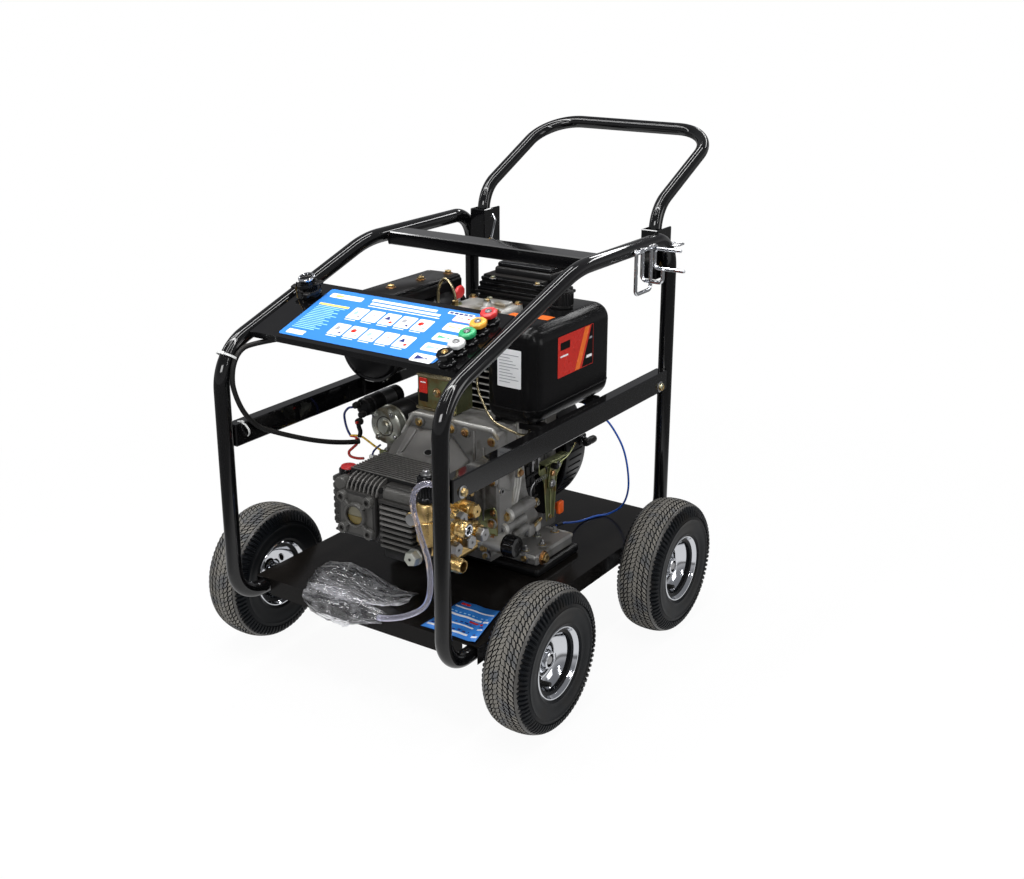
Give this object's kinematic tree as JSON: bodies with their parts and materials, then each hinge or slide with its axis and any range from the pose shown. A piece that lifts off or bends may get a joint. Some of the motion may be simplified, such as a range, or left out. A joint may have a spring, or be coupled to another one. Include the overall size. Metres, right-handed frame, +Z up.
{
  "type": "pressure washer",
  "caption": "Wheeled cage-frame pressure washer: diesel engine driving a piston pump, push handle, sloped panel with spray nozzles and a hose hook.",
  "frame": {"origin": "on the ground, under the middle of the machine's overall length and width", "axes": "+Z up; -Y towards the pump and control panel; +Y towards the push handle; +X towards the fuel tank"},
  "size_m": [0.7102, 1.0164, 0.9247],
  "materials": {
    "black_paint": "gloss",
    "black_plastic": "satin",
    "cast_aluminium": "as cast",
    "chrome": "polished",
    "tyre": "matte",
    "rubber": "matte",
    "yellow_zinc": "zinc plated",
    "brass": "machined",
    "dark_casting": "satin",
    "clear_film": "clear film",
    "clear_hose": "clear",
    "blue_lead": "satin",
    "nozzle_black": "gloss",
    "nozzle_white": "gloss",
    "nozzle_green": "gloss",
    "nozzle_yellow": "gloss",
    "nozzle_red": "gloss"
  },
  "bodies": {
    "chassis": {"air_filter_housing": "black_plastic", "base_tray": "black_paint", "bell_housing": "cast_aluminium", "blue_lead": "blue_lead", "bypass_hose": "clear_hose", "control_panel": "black_paint", "cowl_bracket": "yellow_zinc", "crankcase": "cast_aluminium", "cylinder": "cast_aluminium", "cylinder_head": "cast_aluminium", "engine_mount_pad": "black_paint", "flywheel_shroud": "black_paint", "front_axle": "chrome", "fuel_pipe": "brass", "fuel_tank": "black_plastic", "hose_bag": "clear_film", "hose_hook": "chrome", "ignition_switch": "black_plastic", "injection_pipe": "yellow_zinc", "left_handle_bracket": "black_paint", "left_side_hoop": "black_paint", "left_side_rail": "black_paint", "lifting_crossbar": "black_paint", "muffler": "black_paint", "nozzle_rack": "rubber", "oil_filter_cap": "black_plastic", "pump_crankcase": "dark_casting", "pump_head": "brass", "rear_axle": "chrome", "right_handle_bracket": "black_paint", "right_side_hoop": "black_paint", "right_side_rail": "black_paint", "rocker_cover": "cast_aluminium", "speed_plate": "yellow_zinc", "starter_motor": "yellow_zinc", "starter_solenoid": "black_plastic", "wiring_harness": "rubber"},
    "front_left_wheel": {"front_left_rim": "chrome", "front_left_tyre": "tyre"},
    "front_right_wheel": {"front_right_rim": "chrome", "front_right_tyre": "tyre"},
    "rear_left_wheel": {"rear_left_rim": "chrome", "rear_left_tyre": "tyre"},
    "rear_right_wheel": {"rear_right_rim": "chrome", "rear_right_tyre": "tyre"},
    "handle": {"push_handle": "black_paint"},
    "nozzle_black": {"nozzle_black": "nozzle_black"},
    "nozzle_white": {"nozzle_white": "nozzle_white"},
    "nozzle_green": {"nozzle_green": "nozzle_green"},
    "nozzle_yellow": {"nozzle_yellow": "nozzle_yellow"},
    "nozzle_red": {"nozzle_red": "nozzle_red"},
    "pressure_knob": {"unloader_knob": "black_plastic"},
    "speed_lever": {"speed_lever": "yellow_zinc"},
    "decompression_lever": {"decompression_lever": "chrome"},
    "fuel_cap": {"fuel_cap": "black_plastic"},
    "key": {"key_barrel": "chrome"},
    "recoil_grip": {"recoil_grip": "black_plastic"},
    "crank": {"crankshaft": "chrome"},
    "piston": {"piston": "cast_aluminium"},
    "dipstick": {"oil_dipstick": "black_plastic"}
  },
  "joints": [
    {"name": "front_left_wheel_spin", "type": "hinge", "parent": "chassis", "child": "front_left_wheel", "pos_m": [-0.3126, -0.32985, 0.13], "axis": [1, 0, 0], "continuous": true},
    {"name": "front_right_wheel_spin", "type": "hinge", "parent": "chassis", "child": "front_right_wheel", "pos_m": [0.3126, -0.32985, 0.13], "axis": [1, 0, 0], "continuous": true},
    {"name": "rear_left_wheel_spin", "type": "hinge", "parent": "chassis", "child": "rear_left_wheel", "pos_m": [-0.3126, 0.11745, 0.13], "axis": [1, 0, 0], "continuous": true},
    {"name": "rear_right_wheel_spin", "type": "hinge", "parent": "chassis", "child": "rear_right_wheel", "pos_m": [0.3126, 0.11745, 0.13], "axis": [1, 0, 0], "continuous": true},
    {"name": "handle_fold", "type": "hinge", "parent": "chassis", "child": "handle", "pos_m": [0, 0.24375, 0.69], "axis": [-1, 0, 0], "range_deg": [0, 120]},
    {"name": "nozzle_black_lift", "type": "slide", "parent": "chassis", "child": "nozzle_black", "axis": [0, -0.3123, 0.95], "range_m": [0, 0.045]},
    {"name": "nozzle_white_lift", "type": "slide", "parent": "chassis", "child": "nozzle_white", "axis": [0, -0.3123, 0.95], "range_m": [0, 0.045]},
    {"name": "nozzle_green_lift", "type": "slide", "parent": "chassis", "child": "nozzle_green", "axis": [0, -0.3123, 0.95], "range_m": [0, 0.045]},
    {"name": "nozzle_yellow_lift", "type": "slide", "parent": "chassis", "child": "nozzle_yellow", "axis": [0, -0.3123, 0.95], "range_m": [0, 0.045]},
    {"name": "nozzle_red_lift", "type": "slide", "parent": "chassis", "child": "nozzle_red", "axis": [0, -0.3123, 0.95], "range_m": [0, 0.045]},
    {"name": "pressure_knob_turn", "type": "hinge", "parent": "chassis", "child": "pressure_knob", "pos_m": [0.138, -0.40875, 0.42], "axis": [0, 0, 1], "range_deg": [-180, 180]},
    {"name": "speed_lever_swing", "type": "hinge", "parent": "chassis", "child": "speed_lever", "pos_m": [0.1455, -0.03425, 0.312], "axis": [1, 0, 0], "range_deg": [0, 35]},
    {"name": "decompression_lever_turn", "type": "hinge", "parent": "chassis", "child": "decompression_lever", "pos_m": [-0.04, -0.07225, 0.65], "axis": [0, 0, 1], "range_deg": [0, 60]},
    {"name": "fuel_cap_lift", "type": "slide", "parent": "chassis", "child": "fuel_cap", "axis": [0, 0, 1], "range_m": [0, 0.045]},
    {"name": "key_turn", "type": "hinge", "parent": "chassis", "child": "key", "pos_m": [-0.186, -0.30725, 0.68398], "axis": [0, -0.3123, 0.95], "range_deg": [0, 60]},
    {"name": "recoil_pull", "type": "slide", "parent": "chassis", "child": "recoil_grip", "axis": [1, 0, 0], "range_m": [0, 0.05], "stiffness_N_per_m": 40},
    {"name": "crank_turn", "type": "hinge", "parent": "chassis", "child": "crank", "pos_m": [0, -0.12425, 0.347], "axis": [0, 1, 0], "continuous": true},
    {"name": "piston_stroke", "type": "slide", "parent": "chassis", "child": "piston", "axis": [0, 0, -1], "range_m": [0, 0.07]},
    {"name": "dipstick_pull", "type": "slide", "parent": "chassis", "child": "dipstick", "axis": [1, 0, 0], "range_m": [0, 0.05]}
  ]
}
